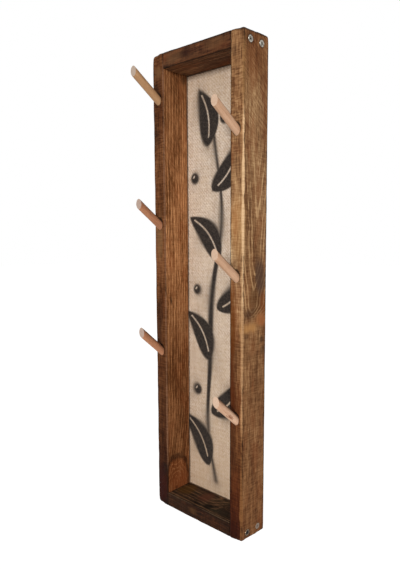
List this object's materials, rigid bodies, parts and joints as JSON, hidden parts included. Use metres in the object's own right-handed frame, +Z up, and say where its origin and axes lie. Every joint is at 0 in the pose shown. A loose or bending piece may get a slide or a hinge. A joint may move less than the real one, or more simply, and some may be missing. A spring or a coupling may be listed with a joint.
{
  "type": "wall mug rack",
  "caption": "Tall narrow wall rack for mugs: a stained softwood box frame with slanting dowel pegs, a hessian-faced back panel and keyhole hangers.",
  "frame": {"origin": "on the wall plane, midway between the round holes of the two keyhole hangers", "axes": "+X to the right as seen from the room, +Y into the wall, +Z up; the pegs point towards -Y"},
  "size_m": [0.182, 0.0946, 0.702],
  "materials": {
    "upright_wood": "sawn softwood, brown stain, waxed",
    "rail_wood": "sawn softwood, dark stain, waxed",
    "dowel_wood": "turned hardwood dowel, lightly oiled",
    "hessian": "coarse plain-woven jute",
    "panel_board": "smooth fibreboard",
    "zinc": "bright zinc plating"
  },
  "bodies": {
    "root": {"left_upright": "upright_wood", "right_upright": "upright_wood", "top_board": "rail_wood", "bottom_board": "rail_wood", "back_panel": "panel_board", "hessian_facing": "hessian", "panel_pins": "zinc", "peg_left_bottom": "dowel_wood", "peg_left_middle": "dowel_wood", "peg_left_top": "dowel_wood", "peg_right_bottom": "dowel_wood", "peg_right_middle": "dowel_wood", "peg_right_top": "dowel_wood", "screws_top_left": "zinc", "screws_top_right": "zinc", "screws_bottom_left": "zinc", "screws_bottom_right": "zinc", "hanger_left": "zinc", "hanger_right": "zinc", "hanger_screws_left": "zinc", "hanger_screws_right": "zinc"}
  },
  "joints": []
}
